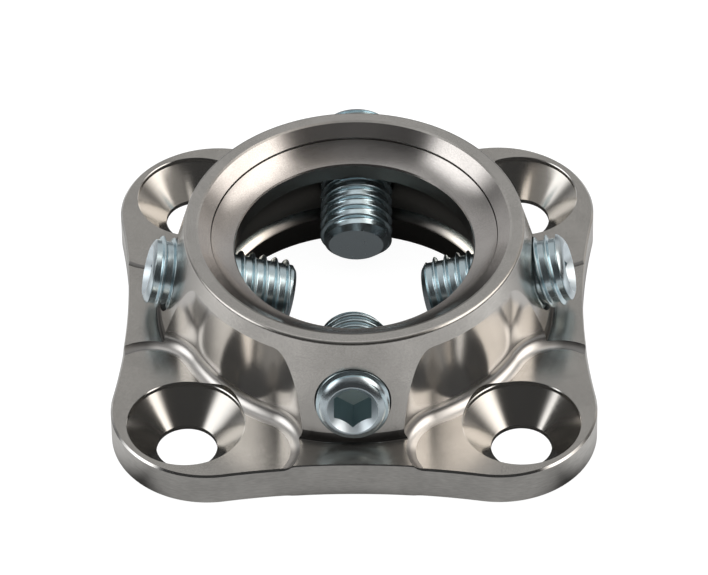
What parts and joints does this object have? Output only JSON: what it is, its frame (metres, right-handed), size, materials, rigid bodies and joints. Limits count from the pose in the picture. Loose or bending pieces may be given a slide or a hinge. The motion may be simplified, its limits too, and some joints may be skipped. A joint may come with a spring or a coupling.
{
  "type": "pyramid receiver",
  "caption": "Steel pyramid receiver of a modular leg prosthesis: square countersunk base plate, dished hub, inclined set screws.",
  "frame": {"origin": "centre of the base plate's underside, on the axis of the hub", "axes": "+Z along the hub axis towards the seat, -Y towards the front set screw, the four bolt holes on the diagonals"},
  "size_m": [0.0524, 0.0524, 0.0162],
  "materials": {
    "machined_steel": "turned and milled stainless steel, satin with bright pockets",
    "zinc_plated_steel": "bright zinc plating"
  },
  "bodies": {
    "receiver": {"receiver_body": "machined_steel"},
    "front_screw": {"set_screw_front": "zinc_plated_steel"},
    "rear_screw": {"set_screw_rear": "zinc_plated_steel"},
    "left_screw": {"set_screw_left": "zinc_plated_steel"},
    "right_screw": {"set_screw_right": "zinc_plated_steel"}
  },
  "joints": [
    {"name": "front_screw_travel", "type": "slide", "parent": "receiver", "child": "front_screw", "axis": [0, 0.9659, -0.2588], "range_m": [-0.0025, 0.0025]},
    {"name": "rear_screw_travel", "type": "slide", "parent": "receiver", "child": "rear_screw", "axis": [0, -0.9659, -0.2588], "range_m": [-0.0025, 0.0025]},
    {"name": "left_screw_travel", "type": "slide", "parent": "receiver", "child": "left_screw", "axis": [0.9659, 0, -0.2588], "range_m": [-0.0025, 0.0025]},
    {"name": "right_screw_travel", "type": "slide", "parent": "receiver", "child": "right_screw", "axis": [-0.9659, 0, -0.2588], "range_m": [-0.0025, 0.0025]}
  ]
}
